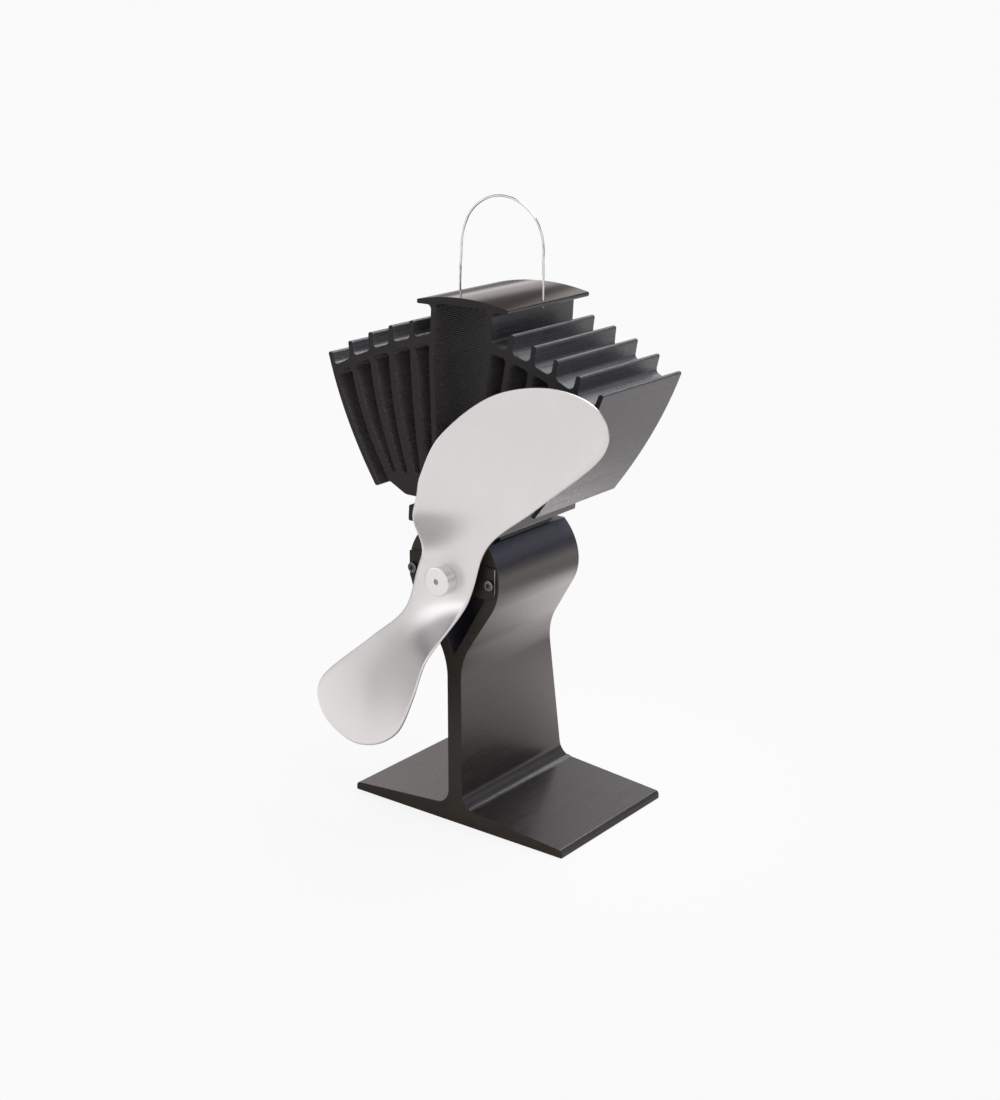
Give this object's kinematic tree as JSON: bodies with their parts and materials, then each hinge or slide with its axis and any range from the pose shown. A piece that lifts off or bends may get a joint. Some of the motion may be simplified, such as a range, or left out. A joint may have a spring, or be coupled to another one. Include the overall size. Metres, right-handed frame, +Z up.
{
  "type": "heat-powered stove fan",
  "caption": "Free-standing stove fan: extruded base with a motor, thermoelectric module, finned heat sink, twisted two-wing blade and wire carrying handle.",
  "frame": {"origin": "middle of the foot plate's underside, on the surface that the fan stands on", "axes": "+Z up; -Y is the front, where the blade is and where the air goes; +X is to the right seen from the front"},
  "size_m": [0.1368, 0.0869, 0.2342],
  "materials": {
    "black_anodised": "black anodised, brushed along the extrusion",
    "satin_aluminium": "satin, fine grain",
    "turned_aluminium": "turned",
    "bright_wire": "bright drawn steel wire",
    "black_steel": "black oxide",
    "zinc_steel": "zinc plated",
    "ceramic": "matt alumina ceramic",
    "graphite": "matt graphite foil",
    "black_silicone": "matt silicone rubber",
    "black_plastic": "moulded",
    "ferrite": "sintered ferrite",
    "bronze": "sintered bronze",
    "copper": "enamelled copper wire and strip",
    "red_sleeve": "silicone insulation",
    "black_sleeve": "silicone insulation"
  },
  "bodies": {
    "stand": {"base_extrusion": "black_anodised", "heat_sink": "black_anodised", "thermoelectric_module": "ceramic", "thermal_pad_lower": "graphite", "thermal_pad_upper": "graphite", "module_seal": "black_silicone", "clamp_screw_front_left": "zinc_steel", "clamp_screw_front_right": "zinc_steel", "clamp_screw_rear_left": "zinc_steel", "clamp_screw_rear_right": "zinc_steel", "clamp_washer_front_left": "zinc_steel", "clamp_washer_front_right": "zinc_steel", "clamp_washer_rear_left": "zinc_steel", "clamp_washer_rear_right": "zinc_steel", "motor_bracket": "black_steel", "bracket_screw_left": "zinc_steel", "bracket_screw_right": "zinc_steel", "motor_case": "zinc_steel", "motor_end_cap": "black_plastic", "front_bush": "bronze", "rear_bush": "bronze", "magnet_left": "ferrite", "magnet_right": "ferrite", "brush_left": "copper", "brush_right": "copper", "terminal_left": "zinc_steel", "terminal_right": "zinc_steel", "lead_red": "red_sleeve", "lead_black": "black_sleeve", "handle_bail": "bright_wire"},
    "rotor": {"fan_blade": "satin_aluminium", "hub": "turned_aluminium", "blade_collar": "turned_aluminium", "motor_shaft": "zinc_steel", "armature_core": "zinc_steel", "armature_coil_1": "copper", "armature_coil_2": "copper", "armature_coil_3": "copper", "commutator": "copper"}
  },
  "joints": [
    {"name": "fan_spin", "type": "hinge", "parent": "stand", "child": "rotor", "pos_m": [0, 0, 0.0993], "axis": [0, 1, 0], "continuous": true}
  ]
}
